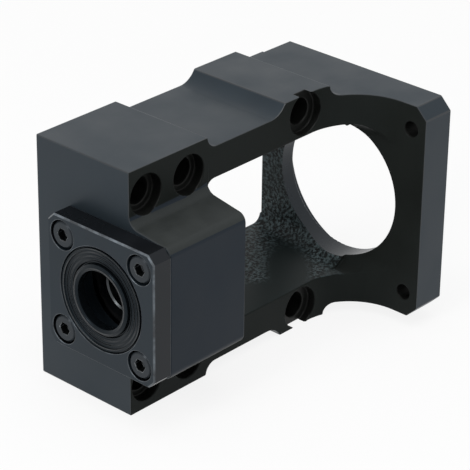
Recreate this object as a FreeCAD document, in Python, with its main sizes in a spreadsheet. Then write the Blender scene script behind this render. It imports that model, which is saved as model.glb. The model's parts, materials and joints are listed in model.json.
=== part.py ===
import FreeCAD, Part
import math
import os

import Sketcher

# Stepper motor mount: a one-piece cast bracket that carries the fixed end of a ball screw in a pair
# of angular contact bearings and, past an open coupling space, the flange of a stepper motor.
# The screw axis is the X axis. The motor face lies at X = 0 and the bearing face at negative X.
# The base face looks to +Y, the open side to -Y, and the bracket lies on its side pads, +Z up.

DRIVING_SIZES = (
    ("bracket_length", "92.8", "bearing face to motor face"),
    ("axis_height", "27.5", "base face to screw axis"),
    ("shoulder_rise", "4.2", "screw axis to the bolting shoulders"),
    ("housing_rise", "18", "screw axis to the top of the bearing housing"),
    ("housing_length", "27.2", "bearing face to the coupling space, at the shoulders"),
    ("housing_root_width", "38.6", "housing between its side walls, at the shoulders"),
    ("housing_lean", "6.6", "lean of the housing's side walls, degrees"),
    ("housing_root_fillet", "3", "fillet from the shoulders into the housing"),
    ("housing_crown_fillet", "2.5", "rounding along the top of the housing"),
    ("body_width", "60.6", "body between its relieved sides"),
    ("pad_step", "3.1", "height of the side pads over the relieved sides"),
    ("front_pad_length", "27.3", "side pads at the bearing end"),
    ("rear_pad_start", "55.8", "bearing face to the side pads at the motor end"),
    ("rear_pad_length", "16.1", "side pads at the motor end"),
    ("pad_root_run", "3.3", "length of the short hollow behind a side pad"),
    ("pad_ramp_run", "5.3", "length of the long hollow before the rear pads"),
    ("rail_gap", "43.4", "coupling space between the rails, at the shoulders"),
    ("cast_draft", "4", "draft of the housing's wall in the coupling space, degrees"),
    ("rail_draft", "2.6", "draft of the rails in the coupling space, degrees"),
    ("pocket_corner_radius", "2.5", "upright corners of the coupling space"),
    ("pocket_sweep_radius", "8", "flange corners of the coupling space, at the shoulders"),
    ("mouth_corner_radius", "5.5", "flange corners of the coupling space above the shoulders"),
    ("flange_thickness", "10.3", "motor flange"),
    ("flange_rise", "28.2", "screw axis to the top of the motor flange"),
    ("flange_foot_relief", "0.5", "motor flange above the base face"),
    ("flange_corner", "3.2", "bevel on the motor flange's corners"),
    ("gusset_radius", "16", "sweep from the rails up into the motor flange"),
    ("pilot_bore", "50", "recess in the motor face for the motor's collar"),
    ("pilot_depth", "5.8", "recess in the motor face"),
    ("flange_hole", "39.2", "hole through the motor flange"),
    ("flange_hole_rounding", "0.4", "rounding of the hole's edge in the recess"),
    ("motor_bolt_square", "47.14", "side of the motor's bolt square"),
    ("motor_bolt_hole", "4.2", "tapping hole for a motor bolt"),
    ("motor_bolt_depth", "13", "depth of the motor bolt holes"),
    ("base_bolt_hole", "7", "clearance hole for a base bolt"),
    ("base_bolt_seat", "10.5", "counterbore for a front base bolt's head"),
    ("base_bolt_seat_depth", "3", "front counterbore below the shoulder"),
    ("base_bolt_headroom", "4", "way above the shoulder for a base bolt's head"),
    ("front_bolt_inset", "5.8", "bearing face to the first base bolts"),
    ("front_bolt_pitch", "14.8", "first to second base bolts"),
    ("front_bolt_spread", "51.6", "front base bolts across the rails"),
    ("rear_bolt_inset", "63.5", "bearing face to the rear base bolts"),
    ("rear_bolt_spread", "56.1", "rear base bolts across the rails"),
    ("rear_bolt_seat", "11.5", "counterbore for a rear base bolt's head, open to the side pad"),
    ("rear_bolt_seat_depth", "2.3", "rear counterbore below the shoulder"),
    ("bearing_bore", "12", "screw journal"),
    ("bearing_outer", "28", "outer ring and its seat"),
    ("bearing_width", "8", "one bearing"),
    ("ball_pitch", "20", "circle through the ball centres"),
    ("ball_size", "4.76", "ball"),
    ("ball_count", "9", "balls in one bearing"),
    ("groove_radius", "2.5", "raceway groove"),
    ("ring_land", "1.3", "pitch circle to a ring's high shoulder"),
    ("ring_relief", "2.2", "pitch circle to a ring's low shoulder"),
    ("ring_chamfer", "0.4", "edges of the rings"),
    ("cage_thickness", "1.7", "cage wall"),
    ("cage_width", "6.4", "cage along the axis"),
    ("cage_pocket", "5", "ball pocket in the cage"),
    ("web_bore", "22.5", "way past the shoulders that hold the outer rings"),
    ("fit_clearance", "0.02", "radial clearance of seated pieces"),
    ("cover_side", "36", "bearing cover"),
    ("cover_thickness", "5.8", "bearing cover"),
    ("cover_bevel", "2.1", "corners of the bearing cover"),
    ("cover_edge", "0.4", "bevel round the cover's outer face"),
    ("spigot_length", "2.5", "cover's collar inside the bearing seat"),
    ("screw_square", "26", "side of the cover's screw square"),
    ("screw_size", "4", "cover screw and its tapped hole"),
    ("screw_clearance", "0.05", "radial clearance round a cover screw's shank"),
    ("screw_length", "10", "cover screw under its head"),
    ("screw_hole_depth", "11", "tapped holes below the bearing face"),
    ("screw_passage", "4.5", "way for a cover screw's shank"),
    ("head_size", "7", "cover screw head"),
    ("head_height", "4", "cover screw head"),
    ("head_edge", "0.4", "bevel on a cover screw's head"),
    ("head_seat", "7.9", "counterbore for a cover screw's head"),
    ("head_seat_depth", "4.2", "counterbore in the cover"),
    ("socket_size", "3", "hexagon across flats"),
    ("socket_depth", "2.2", "hexagon socket"),
    ("seal_outer", "27.7", "lip seal and its seat"),
    ("seal_width", "4.2", "lip seal in its seat"),
    ("seal_setback", "0.2", "rear seal behind the housing's end"),
    ("seal_bore", "15.4", "seal lip"),
    ("seal_lip_wall", "1.6", "wall of the seal lip"),
    ("seal_lip_reach", "0.4", "seal lip in front of the seal's face"),
    ("seal_lip_edge", "0.3", "rounding of the seal lip's end"),
    ("seal_lip_depth", "2.2", "straight bore of the lip behind the face"),
    ("seal_rim_recess", "0.5", "seal's rim behind its face"),
    ("seal_rim_gap", "0.35", "groove between the seal's rim and its bead"),
    ("seal_bead_height", "0.05", "seal's bead in front of its face"),
    ("seal_bead_wall", "0.9", "seal's bead"),
    ("seal_bead_flank", "0.12", "slope of each flank of the bead"),
    ("seal_gutter_depth", "0.8", "gutter round the seal lip"),
    ("seal_gutter_width", "0.4", "floor of the gutter"),
    ("seal_cone_height", "0.3", "inner flank of the bead, below the face"),
    ("seal_cone_width", "0.2", "side of the gutter"),
    ("seal_back_wall", "3.2", "seal's outer wall at its back"),
    ("cut_margin", "1", "cuts run this far past the faces that they open"),
)

SHEET_NAME = "Sizes"
OUTPUT_FOLDER = "parts"


class Size:
    """A size known both as a number and as a formula over the sheet's names."""

    def __init__(self, value, formula):
        self.value = value
        self.formula = formula

    def __add__(self, other):
        other = as_size(other)
        return Size(self.value + other.value, f"({self.formula} + {other.formula})")

    def __sub__(self, other):
        other = as_size(other)
        return Size(self.value - other.value, f"({self.formula} - {other.formula})")

    def __mul__(self, other):
        other = as_size(other)
        return Size(self.value * other.value, f"({self.formula} * {other.formula})")

    def __truediv__(self, other):
        other = as_size(other)
        return Size(self.value / other.value, f"({self.formula} / {other.formula})")

    def __neg__(self):
        return Size(-self.value, f"(-1 * {self.formula})")

    __radd__ = __add__
    __rmul__ = __mul__


def as_size(number):
    """Give a plain number the form of a size."""
    if isinstance(number, Size):
        return number
    return Size(float(number), repr(number))


def root(size):
    """Square root of a size."""
    return Size(math.sqrt(size.value), f"sqrt({size.formula})")


def tangent(angle):
    """Tangent of an angle in degrees."""
    return Size(math.tan(math.radians(angle.value)), f"tan({angle.formula} * 1 deg)")


def sine(angle):
    """Sine of an angle in degrees."""
    return Size(math.sin(math.radians(angle.value)), f"sin({angle.formula} * 1 deg)")


def cosine(angle):
    """Cosine of an angle in degrees."""
    return Size(math.cos(math.radians(angle.value)), f"cos({angle.formula} * 1 deg)")


ZERO = as_size(0)
QUARTER_TURN = as_size(90)
FULL_TURN = as_size(360)

doc = FreeCAD.newDocument("stepper_motor_mount")
sheet = doc.addObject("Spreadsheet::Sheet", SHEET_NAME)
for row, (alias, text, meaning) in enumerate(DRIVING_SIZES, start=1):
    sheet.set(f"A{row}", alias)
    sheet.set(f"B{row}", text)
    sheet.set(f"C{row}", meaning)
    sheet.setAlias(f"B{row}", alias)
doc.recompute()

S = {alias: Size(float(text), f"{SHEET_NAME}.{alias}") for alias, text, meaning in DRIVING_SIZES}


def new_body(label):
    """Start a body whose label names its file."""
    body = doc.addObject("PartDesign::Body", label)
    body.Label = label
    return body


def add_sketch(body, name, plane, offset=ZERO):
    """Add a sketch on one of the body's origin planes, moved along the plane's normal."""
    sketch = body.newObject("Sketcher::SketchObject", f"{body.Label}_{name}")
    support = [feature for feature in body.Origin.OriginFeatures if feature.Role == plane]
    sketch.AttachmentSupport = [(support[0], "")]
    sketch.MapMode = "FlatFace"
    sketch.setExpression("AttachmentOffset.Base.z", offset.formula)
    return sketch


def bind_constraint(sketch, kind, references, size):
    """Add a constraint to a sketch and bind its value to a formula."""
    index = sketch.addConstraint(Sketcher.Constraint(kind, *references, size.value))
    sketch.setExpression(f"Constraints[{index}]", size.formula)


def pin_point(sketch, geometry, end, x, y):
    """Fix a point of a sketch at given distances from the sketch's origin."""
    for kind, axis, distance in (("DistanceX", -2, x), ("DistanceY", -1, y)):
        if distance is ZERO:
            sketch.addConstraint(Sketcher.Constraint("PointOnObject", geometry, end, axis))
        else:
            bind_constraint(sketch, kind, (-1, 1, geometry, end), distance)


def arc_between(start, end, bend):
    """Arc of radius abs(bend) between two points, anticlockwise when bend is positive."""
    if bend < 0:
        start, end = end, start
    radius = abs(bend)
    chord = end - start
    reach = math.sqrt(max(radius ** 2 - chord.Length ** 2 / 4, 0))
    across = FreeCAD.Vector(-chord.y, chord.x, 0).normalize()
    centre = (start + end) * 0.5 + across * reach
    angles = [math.atan2(point.y - centre.y, point.x - centre.x) for point in (start, end)]
    if angles[1] < angles[0]:
        angles[1] += 2 * math.pi
    return Part.ArcOfCircle(Part.Circle(centre, FreeCAD.Vector(0, 0, 1), radius), *angles)


def draw_outline(sketch, corners):
    """Draw a closed outline. A third value on a corner bends the side after it into an arc."""
    corners = [[as_size(value) if value != 0 else ZERO for value in corner] for corner in corners]
    points = [FreeCAD.Vector(corner[0].value, corner[1].value, 0) for corner in corners]
    joints = []
    for index, corner in enumerate(corners):
        start = points[index]
        end = points[(index + 1) % len(points)]
        if len(corner) == 2:
            side = sketch.addGeometry(Part.LineSegment(start, end), False)
            joints.append(((side, 1), (side, 2)))
            continue
        bend = corner[2]
        side = sketch.addGeometry(arc_between(start, end, bend.value), False)
        joints.append(((side, 1), (side, 2)) if bend.value > 0 else ((side, 2), (side, 1)))
        bind_constraint(sketch, "Radius", (side,), bend if bend.value > 0 else -bend)
    for index, corner in enumerate(corners):
        first = joints[index][0]
        last = joints[index - 1][1]
        sketch.addConstraint(Sketcher.Constraint("Coincident", *last, *first))
        pin_point(sketch, *first, corner[0], corner[1])


def draw_circles(sketch, centres, diameter):
    """Draw circles of one diameter round the given centres."""
    for x, y in centres:
        centre = FreeCAD.Vector(x.value, y.value, 0)
        circle = Part.Circle(centre, FreeCAD.Vector(0, 0, 1), diameter.value / 2)
        geometry = sketch.addGeometry(circle, False)
        bind_constraint(sketch, "Radius", (geometry,), diameter / 2)
        pin_point(sketch, geometry, 3, x, y)


def add_pad(body, sketch, length):
    """Raise a sketch along its normal."""
    pad = body.newObject("PartDesign::Pad", f"{sketch.Name}_pad")
    pad.Profile = sketch
    pad.setExpression("Length", length.formula)
    doc.recompute()
    return pad


def check_cut(body, feature, volume):
    """Stop if a cut left the body as it was."""
    doc.recompute()
    if not body.Shape.Volume < volume - 1e-6:
        raise RuntimeError(f"{feature.Name} cuts nothing")


def add_pocket(body, sketch, depth, along_normal=False):
    """Cut a sketch into the body, against its normal or along it."""
    volume = body.Shape.Volume
    pocket = body.newObject("PartDesign::Pocket", f"{sketch.Name}_pocket")
    pocket.Profile = sketch
    pocket.Reversed = along_normal
    pocket.setExpression("Length", depth.formula)
    check_cut(body, pocket, volume)
    return pocket


def add_turned(body, name, corners):
    """Turn an outline of axial and radial distances about the screw axis."""
    sketch = add_sketch(body, name, "XY_Plane")
    draw_outline(sketch, corners)
    turned = body.newObject("PartDesign::Revolution", f"{sketch.Name}_turned")
    turned.Profile = sketch
    turned.ReferenceAxis = (sketch, ["H_Axis"])
    turned.Angle = 360
    doc.recompute()
    return sketch


def bore_out(body, name, corners):
    """Cut an outline of axial and radial distances about the screw axis."""
    volume = body.Shape.Volume
    sketch = add_sketch(body, name, "XY_Plane")
    draw_outline(sketch, corners)
    groove = body.newObject("PartDesign::Groove", f"{sketch.Name}_bore")
    groove.Profile = sketch
    groove.ReferenceAxis = (sketch, ["H_Axis"])
    groove.Angle = 360
    check_cut(body, groove, volume)


def square_corners(side):
    """Corners of a square about the screw axis."""
    half = side / 2
    return [(y_sign * half, z_sign * half) for y_sign in (1, -1) for z_sign in (1, -1)]


def rounded_rectangle(left, right, half_height, left_radius, right_radius):
    """Outline of a rectangle with rounded corners, anticlockwise."""
    return [
        (left + left_radius, -half_height),
        (right - right_radius, -half_height, right_radius),
        (right, right_radius - half_height),
        (right, half_height - right_radius, right_radius),
        (right - right_radius, half_height),
        (left + left_radius, half_height, left_radius),
        (left, half_height - left_radius),
        (left, left_radius - half_height, left_radius),
    ]


# Stations along the screw axis, from the bearing face towards the motor, and across it.
bearing_face = -S["bracket_length"]
cover_face = bearing_face - S["cover_thickness"]
pair_start = bearing_face + S["spigot_length"]
pair_middle = pair_start + S["bearing_width"]
pair_end = pair_middle + S["bearing_width"]
rear_pad_start = bearing_face + S["rear_pad_start"]
rear_pad_end = rear_pad_start + S["rear_pad_length"]
flange_inner = -S["flange_thickness"]
relieved_side = S["body_width"] / 2
pad_side = relieved_side + S["pad_step"]
shoulder_level = -S["shoulder_rise"]
seal_seat_radius = S["seal_outer"] / 2
draft_slope = tangent(S["cast_draft"])
rear_seal_face = (
    bearing_face
    + S["housing_length"]
    - (seal_seat_radius - S["shoulder_rise"]) * draft_slope
    - S["seal_setback"]
)
rear_seal_seat = rear_seal_face - S["seal_width"]


def hollow_radius(run):
    """Radius of a hollow that ends level with the relieved side and rises one pad step."""
    return (run * run + S["pad_step"] * S["pad_step"]) / (2 * S["pad_step"])


def build_foot(body):
    """Base, rails and side pads, drawn in plan and raised to the shoulders."""
    side = relieved_side
    pad = pad_side
    front_pad_end = bearing_face + S["front_pad_length"]
    root_run = S["pad_root_run"]
    ramp_run = S["pad_ramp_run"]
    root_radius = hollow_radius(root_run)
    ramp_radius = hollow_radius(ramp_run)
    corners = [
        (bearing_face, -pad),
        (bearing_face, pad),
        (front_pad_end, pad, root_radius),
        (front_pad_end + root_run, side),
        (rear_pad_start - ramp_run, side, ramp_radius),
        (rear_pad_start, pad),
        (rear_pad_end, pad, root_radius),
        (rear_pad_end + root_run, side),
        (flange_inner, side),
        (flange_inner, -side),
        (rear_pad_end + root_run, -side, root_radius),
        (rear_pad_end, -pad),
        (rear_pad_start, -pad, ramp_radius),
        (rear_pad_start - ramp_run, -side),
        (front_pad_end + root_run, -side, root_radius),
        (front_pad_end, -pad),
    ]
    sketch = add_sketch(body, "foot", "XZ_Plane", -S["axis_height"])
    draw_outline(sketch, corners)
    add_pad(body, sketch, S["axis_height"] + S["shoulder_rise"])


def build_housing(body):
    """Bearing housing above the shoulders, with leaning walls, root fillets and a rounded crown."""
    lean_sine = sine(S["housing_lean"])
    lean_cosine = cosine(S["housing_lean"])
    half_turn = tangent((QUARTER_TURN - S["housing_lean"]) / 2)
    crown_level = -S["housing_rise"]
    height = S["housing_rise"] - S["shoulder_rise"]
    root_half = S["housing_root_width"] / 2
    crown_half = root_half - height * tangent(S["housing_lean"])
    root_radius = S["housing_root_fillet"]
    crown_radius = S["housing_crown_fillet"]
    root_run = root_radius * half_turn
    crown_run = crown_radius * half_turn
    half_outline = [
        (shoulder_level, root_half + root_run, -root_radius),
        (shoulder_level - root_run * lean_cosine, root_half - root_run * lean_sine),
        (crown_level + crown_run * lean_cosine, crown_half + crown_run * lean_sine, crown_radius),
        (crown_level, crown_half - crown_run),
    ]
    other_half = [
        (crown_level, crown_run - crown_half, crown_radius),
        (crown_level + crown_run * lean_cosine, -crown_half - crown_run * lean_sine),
        (shoulder_level - root_run * lean_cosine, root_run * lean_sine - root_half, -root_radius),
        (shoulder_level, -root_half - root_run),
    ]
    sketch = add_sketch(body, "housing", "YZ_Plane", bearing_face)
    draw_outline(sketch, half_outline + other_half)
    add_pad(body, sketch, S["housing_length"])


def build_flange(body):
    """Motor flange with bevelled corners, and the sweeps that carry the rails up into it."""
    top = -S["flange_rise"]
    foot = S["axis_height"] - S["flange_foot_relief"]
    side = relieved_side
    bevel = S["flange_corner"]
    sketch = add_sketch(body, "flange", "YZ_Plane", flange_inner)
    draw_outline(sketch, [
        (foot, -side),
        (foot, side),
        (top + bevel, side),
        (top, side - bevel),
        (top, bevel - side),
        (top + bevel, -side),
    ])
    add_pad(body, sketch, S["flange_thickness"])
    radius = S["gusset_radius"]
    sketch = add_sketch(body, "gusset", "XY_Plane", -pad_side)
    draw_outline(sketch, [
        (flange_inner, shoulder_level),
        (flange_inner - radius, shoulder_level, -radius),
        (flange_inner, shoulder_level - radius),
    ])
    add_pad(body, sketch, 2 * pad_side)
    relieve_sweeps(body)


def relieve_sweeps(body):
    """Take the sweeps back to the relieved sides behind the rear pads."""
    radius = hollow_radius(S["pad_root_run"])
    past_pad = pad_side + S["cut_margin"]
    height = S["gusset_radius"] + S["cut_margin"]
    sketch = add_sketch(body, "gusset_sides", "XZ_Plane", S["shoulder_rise"] + height)
    for sign in (1, -1):
        draw_outline(sketch, [
            (rear_pad_end, sign * pad_side, sign * radius),
            (rear_pad_end + S["pad_root_run"], sign * relieved_side),
            (flange_inner, sign * relieved_side),
            (flange_inner, sign * past_pad),
            (rear_pad_end, sign * past_pad),
        ])
    add_pocket(body, sketch, height)


def cut_coupling_space(body):
    """Drafted space for the coupling, open to the base and to the open side."""
    base = S["axis_height"] + S["cut_margin"]
    mouth = -S["flange_rise"] - S["cut_margin"]
    corner = S["pocket_corner_radius"]
    cut_drafted(body, "cast_space", (base, corner), (shoulder_level, S["pocket_sweep_radius"]))
    milled_corner = S["mouth_corner_radius"]
    cut_drafted(body, "milled_space", (shoulder_level, milled_corner), (mouth, milled_corner))


def cut_drafted(body, name, start, end):
    """Cut the coupling space between two levels, each with its corner radius at the flange."""
    volume = body.Shape.Volume
    sections = []
    for place, (level, flange_corner) in (("start", start), ("end", end)):
        rise = shoulder_level - level
        left = bearing_face + S["housing_length"] - rise * draft_slope
        half_gap = S["rail_gap"] / 2 + rise * tangent(S["rail_draft"])
        corner = S["pocket_corner_radius"]
        sketch = add_sketch(body, f"{name}_{place}", "XZ_Plane", -level)
        draw_outline(sketch, rounded_rectangle(left, flange_inner, half_gap, corner, flange_corner))
        sections.append(sketch)
    space = body.newObject("PartDesign::SubtractiveLoft", f"{body.Label}_{name}")
    space.Profile = sections[0]
    space.Sections = sections[1:]
    space.Ruled = True
    check_cut(body, space, volume)


def cut_bores(body):
    """Bearing seat, web, rear seal seat, motor hole and pilot recess about the screw axis."""
    margin = S["cut_margin"]
    seat = S["bearing_outer"] / 2
    web = S["web_bore"] / 2
    space_end = bearing_face + S["housing_length"] + S["axis_height"] * draft_slope + margin
    bore_out(body, "bearing_seat", [
        (bearing_face - margin, 0),
        (bearing_face - margin, seat),
        (pair_end, seat),
        (pair_end, web),
        (rear_seal_seat, web),
        (rear_seal_seat, seal_seat_radius),
        (space_end, seal_seat_radius),
        (space_end, 0),
    ])
    pilot = S["pilot_bore"] / 2
    recess_floor = -S["pilot_depth"]
    hole = S["flange_hole"] / 2
    hole_end = flange_inner - S["pocket_sweep_radius"] - margin
    rounding = S["flange_hole_rounding"]
    bore_out(body, "pilot", [
        (margin, 0),
        (margin, pilot),
        (recess_floor, pilot),
        (recess_floor, hole + rounding, -rounding),
        (recess_floor - rounding, hole),
        (hole_end, hole),
        (hole_end, 0),
    ])


def cut_bolt_holes(body):
    """Base bolt holes with head seats, motor bolt holes and tapped holes for the cover."""
    first = bearing_face + S["front_bolt_inset"]
    second = first + S["front_bolt_pitch"]
    rear = bearing_face + S["rear_bolt_inset"]
    front_centres = [(x, sign * S["front_bolt_spread"] / 2) for x in (first, second) for sign in (1, -1)]
    rear_centres = [(rear, sign * S["rear_bolt_spread"] / 2) for sign in (1, -1)]
    headroom = S["base_bolt_headroom"]
    mouth = S["shoulder_rise"] + headroom
    sketch = add_sketch(body, "base_bolts", "XZ_Plane", mouth)
    draw_circles(sketch, front_centres + rear_centres, S["base_bolt_hole"])
    add_pocket(body, sketch, mouth + S["axis_height"] + S["cut_margin"])
    sketch = add_sketch(body, "front_bolt_seats", "XZ_Plane", mouth)
    draw_circles(sketch, front_centres, S["base_bolt_seat"])
    add_pocket(body, sketch, headroom + S["base_bolt_seat_depth"])
    sketch = add_sketch(body, "rear_bolt_seats", "XZ_Plane", mouth)
    draw_circles(sketch, rear_centres, S["rear_bolt_seat"])
    add_pocket(body, sketch, headroom + S["rear_bolt_seat_depth"])
    sketch = add_sketch(body, "motor_bolts", "YZ_Plane")
    draw_circles(sketch, square_corners(S["motor_bolt_square"]), S["motor_bolt_hole"])
    add_pocket(body, sketch, S["motor_bolt_depth"])
    sketch = add_sketch(body, "cover_taps", "YZ_Plane", bearing_face)
    draw_circles(sketch, square_corners(S["screw_square"]), S["screw_size"])
    add_pocket(body, sketch, S["screw_hole_depth"], along_normal=True)


def build_bracket():
    """One-piece cast bracket."""
    body = new_body("bracket_casting")
    build_foot(body)
    build_housing(body)
    build_flange(body)
    cut_coupling_space(body)
    cut_bores(body)
    cut_bolt_holes(body)
    return body


def build_cover():
    """Bearing cover: a bevelled square plate with a collar that holds the outer rings."""
    body = new_body("bearing_cover")
    half = S["cover_side"] / 2
    flat = half - S["cover_bevel"]
    sketch = add_sketch(body, "plate", "YZ_Plane", cover_face)
    draw_outline(sketch, [
        (half, -flat), (half, flat), (flat, half), (-flat, half),
        (-half, flat), (-half, -flat), (-flat, -half), (flat, -half),
    ])
    add_pad(body, sketch, S["cover_thickness"])
    add_edge_bevel(body, cover_face)
    sketch = add_sketch(body, "collar", "YZ_Plane", bearing_face)
    draw_circles(sketch, [(ZERO, ZERO)], S["bearing_outer"] - 2 * S["fit_clearance"])
    add_pad(body, sketch, S["spigot_length"])
    seal_floor = cover_face + S["seal_width"]
    bore_out(body, "seal_seat", [
        (cover_face - S["cut_margin"], 0),
        (cover_face - S["cut_margin"], seal_seat_radius),
        (seal_floor, seal_seat_radius),
        (seal_floor, S["web_bore"] / 2),
        (pair_start + S["cut_margin"], S["web_bore"] / 2),
        (pair_start + S["cut_margin"], 0),
    ])
    centres = square_corners(S["screw_square"])
    sketch = add_sketch(body, "screw_ways", "YZ_Plane", cover_face)
    draw_circles(sketch, centres, S["screw_passage"])
    add_pocket(body, sketch, S["cover_thickness"] + S["cut_margin"], along_normal=True)
    sketch = add_sketch(body, "head_seats", "YZ_Plane", cover_face)
    draw_circles(sketch, centres, S["head_seat"])
    add_pocket(body, sketch, S["head_seat_depth"], along_normal=True)
    return body


def add_edge_bevel(body, level):
    """Bevel the outer edges of the cover's plate on the face at the given X."""
    names = [
        f"Edge{index}"
        for index, edge in enumerate(body.Shape.Edges, start=1)
        if all(abs(vertex.X - level.value) < 1e-6 for vertex in edge.Vertexes)
    ]
    plate = body.Tip
    bevel = body.newObject("PartDesign::Chamfer", f"{body.Label}_edge_bevel")
    bevel.Base = (plate, names)
    bevel.setExpression("Size", S["cover_edge"].formula)
    doc.recompute()


def build_screws():
    """Four socket head screws: one turned and broached screw, and its mirror images."""
    screw = new_body("cover_screw_form")
    seat = cover_face + S["head_seat_depth"]
    head_end = seat - S["head_height"]
    head = S["head_size"] / 2
    edge = S["head_edge"]
    shank = S["screw_size"] / 2 - S["screw_clearance"]
    tip = seat + S["screw_length"]
    add_turned(screw, "section", [
        (head_end, 0),
        (head_end, head - edge),
        (head_end + edge, head),
        (seat, head),
        (seat, shank),
        (tip - edge, shank),
        (tip, shank - edge),
        (tip, 0),
    ])
    sketch = add_sketch(screw, "socket", "YZ_Plane", head_end)
    corner = S["socket_size"] / root(as_size(3))
    flat = S["socket_size"] / 2
    draw_outline(sketch, [
        (corner, 0), (corner / 2, flat), (-corner / 2, flat),
        (-corner, 0), (-corner / 2, -flat), (corner / 2, -flat),
    ])
    add_pocket(screw, sketch, S["socket_depth"], along_normal=True)
    offset = S["screw_square"] / 2
    screw.setExpression(".Placement.Base.y", offset.formula)
    screw.setExpression(".Placement.Base.z", offset.formula)
    pieces = screw
    for name, normal in (("upper", FreeCAD.Vector(0, 1, 0)), ("all", FreeCAD.Vector(0, 0, 1))):
        image = doc.addObject("Part::Mirroring", f"{name}_screw_image")
        image.Source = pieces
        image.Normal = normal
        group = doc.addObject("Part::Compound", f"{name}_screws")
        group.Links = [pieces, image]
        pieces = group
        doc.recompute()
    pieces.Label = "cover_screws"
    return pieces


def build_seal(label, face, inward):
    """Lip seal: a rim in its seat, a bead, a gutter and a lip that stands proud of the face."""
    rim = S["seal_outer"] / 2 - S["fit_clearance"]
    lip = S["seal_bore"] / 2
    lip_outer = lip + S["seal_lip_wall"]
    edge = S["seal_lip_edge"]
    bead = -S["seal_bead_height"]
    bead_outer = rim - S["seal_rim_gap"]
    bead_inner = bead_outer - S["seal_bead_wall"]
    flank = S["seal_bead_flank"]
    gutter = lip_outer + S["seal_gutter_width"]
    lip_end = -S["seal_lip_reach"]
    outline = [
        (S["seal_width"], rim),
        (S["seal_rim_recess"], rim),
        (S["seal_rim_recess"], bead_outer),
        (bead, bead_outer - flank),
        (bead, bead_inner + flank),
        (S["seal_cone_height"], bead_inner),
        (S["seal_cone_height"], gutter + S["seal_cone_width"]),
        (S["seal_gutter_depth"], gutter),
        (S["seal_gutter_depth"], lip_outer),
        (lip_end + edge, lip_outer),
        (lip_end, lip_outer - edge),
        (lip_end, lip + edge),
        (lip_end + edge, lip),
        (S["seal_lip_depth"], lip),
        (S["seal_width"], rim - S["seal_back_wall"]),
    ]
    body = new_body(label)
    add_turned(body, "section", [(face + inward * depth, radius) for depth, radius in outline])
    return body


def groove_run(height):
    """Axial distance from the ball centre to the raceway's edge at a ring's shoulder."""
    return root(S["groove_radius"] * S["groove_radius"] - height * height)


def build_bearing(name, middle, facing):
    """One angular contact bearing: two rings, a cage and its balls."""
    half = S["bearing_width"] / 2
    pitch = S["ball_pitch"] / 2
    chamfer = S["ring_chamfer"]
    outer = S["bearing_outer"] / 2 - S["fit_clearance"]
    bore = S["bearing_bore"] / 2
    high = groove_run(S["ring_land"])
    low = groove_run(S["ring_relief"])
    bend = facing * S["groove_radius"]
    outer_outline = [
        (-half, pitch + S["ring_land"]),
        (-half, outer - chamfer),
        (chamfer - half, outer),
        (half - chamfer, outer),
        (half, outer - chamfer),
        (half, pitch + S["ring_relief"]),
        (low, pitch + S["ring_relief"], bend),
        (-high, pitch + S["ring_land"]),
    ]
    inner_outline = [
        (chamfer - half, bore),
        (half - chamfer, bore),
        (half, bore + chamfer),
        (half, pitch - S["ring_land"]),
        (high, pitch - S["ring_land"], -bend),
        (-low, pitch - S["ring_relief"]),
        (-half, pitch - S["ring_relief"]),
        (-half, bore + chamfer),
    ]
    rings = []
    for part, outline in (("outer_ring", outer_outline), ("inner_ring", inner_outline)):
        ring = new_body(f"{name}_{part}")
        add_turned(ring, "section", [(middle + facing * axial, *rest) for axial, *rest in outline])
        rings.append(ring)
    return rings + [build_cage(name, middle), build_balls(name, middle)]


def build_cage(name, middle):
    """Ball cage: a plain ring with a round pocket for each ball."""
    body = new_body(f"{name}_cage")
    half_width = S["cage_width"] / 2
    inner = (S["ball_pitch"] - S["cage_thickness"]) / 2
    outer = inner + S["cage_thickness"]
    section = add_turned(body, "section", [
        (middle - half_width, inner),
        (middle + half_width, inner),
        (middle + half_width, outer),
        (middle - half_width, outer),
    ])
    sketch = add_sketch(body, "ball_way", "XY_Plane")
    draw_circles(sketch, [(middle, ZERO)], S["cage_pocket"])
    pocket = add_pocket(body, sketch, S["ball_pitch"])
    volume = body.Shape.Volume
    ways = body.newObject("PartDesign::PolarPattern", f"{body.Label}_ball_ways")
    ways.Originals = [pocket]
    ways.Axis = (section, ["H_Axis"])
    ways.Angle = 360
    ways.setExpression("Occurrences", S["ball_count"].formula)
    body.Tip = ways
    check_cut(body, ways, volume)
    return body


def build_balls(name, middle):
    """Balls of one bearing, spaced evenly in the pockets of the cage."""
    count = int(S["ball_count"].value)
    balls = []
    for index in range(count):
        turn = FULL_TURN / S["ball_count"] * index - QUARTER_TURN
        ball = doc.addObject("Part::Sphere", f"{name}_ball_{index + 1}")
        ball.setExpression("Radius", (S["ball_size"] / 2).formula)
        ball.setExpression(".Placement.Base.x", middle.formula)
        ball.setExpression(".Placement.Base.y", (S["ball_pitch"] / 2 * cosine(turn)).formula)
        ball.setExpression(".Placement.Base.z", (S["ball_pitch"] / 2 * sine(turn)).formula)
        balls.append(ball)
    group = doc.addObject("Part::Compound", f"{name}_balls")
    group.Links = balls
    group.Label = f"{name}_balls"
    doc.recompute()
    return group


def check_document():
    """Stop if any object of the document failed."""
    for item in doc.Objects:
        if "Invalid" in item.State or "Error" in item.State:
            raise RuntimeError(f"{item.Name}: {item.State}")


def write_parts(parts):
    """Check each sub-part's shape and write it under its label."""
    os.makedirs(OUTPUT_FOLDER, exist_ok=True)
    for part in parts:
        if part.Shape.isNull() or not part.Shape.isValid():
            raise RuntimeError(f"{part.Label} has no valid shape")
    for part in parts:
        part.Shape.exportStep(f"{OUTPUT_FOLDER}/{part.Label}.step")
        print(part.Label, len(part.Shape.Solids), "solids", round(part.Shape.Volume, 1), "mm3")


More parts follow.
